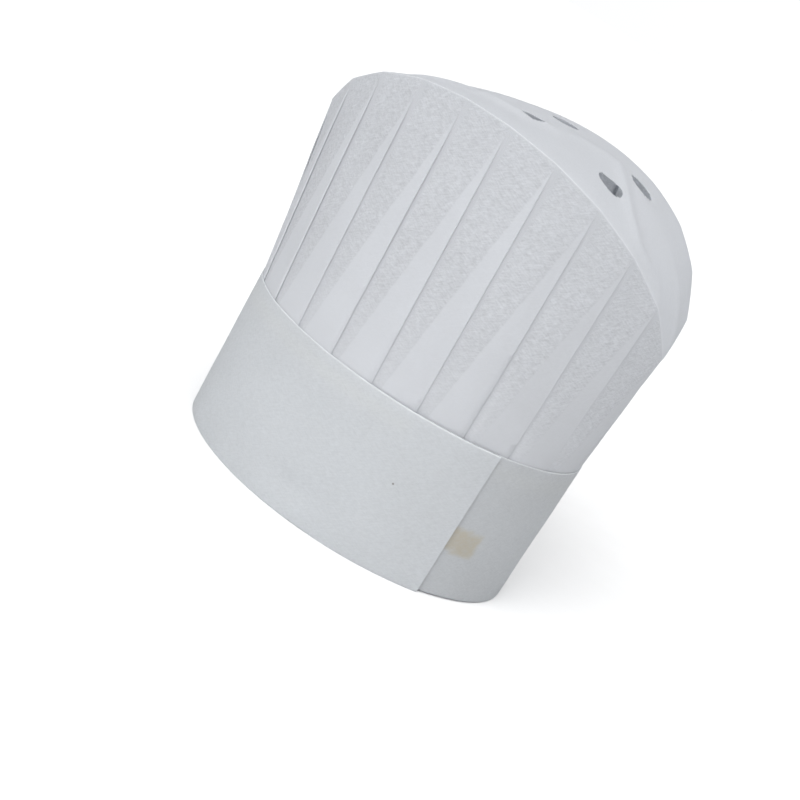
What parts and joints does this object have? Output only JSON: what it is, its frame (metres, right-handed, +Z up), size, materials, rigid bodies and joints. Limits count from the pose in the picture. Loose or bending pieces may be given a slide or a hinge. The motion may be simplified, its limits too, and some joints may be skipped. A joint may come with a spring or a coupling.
{
  "type": "chef toque",
  "caption": "Tall white nonwoven chef toque with a knife-pleated crown, a vaulted vented top and a folded head band that overlaps at the back left in a peel-open flap.",
  "frame": {"origin": "centre of the head opening, on the plane of the bottom rim", "axes": "+Z up through the crown, -Y towards the front (forehead), +X towards the wearer's left"},
  "size_m": [0.1708, 0.2272, 0.2319],
  "materials": {
    "crown_sheet": "matt white spunlace nonwoven, cross-hatched fibres, slightly see-through",
    "band_sheet": "matt white nonwoven, smooth, doubled",
    "lining_sheet": "matt white nonwoven, inner ply",
    "clear_tape": "thin double-sided tape",
    "tan_tape": "tan adhesive tape, aged",
    "adhesive": "dried hot-melt glue"
  },
  "bodies": {
    "hat": {"crown": "crown_sheet", "band_outer": "band_sheet", "band_lining": "lining_sheet", "closure_tape": "clear_tape", "seam_tape": "tan_tape", "crown_glue": "adhesive", "lining_glue": "adhesive"},
    "flap": {"closure_flap": "band_sheet"}
  },
  "joints": [
    {"name": "flap_peel", "type": "hinge", "parent": "hat", "child": "flap", "pos_m": [0.0773, 0.03906, 0], "axis": [-0.0153, -0.0065, -0.9999], "range_deg": [0, 80]}
  ]
}
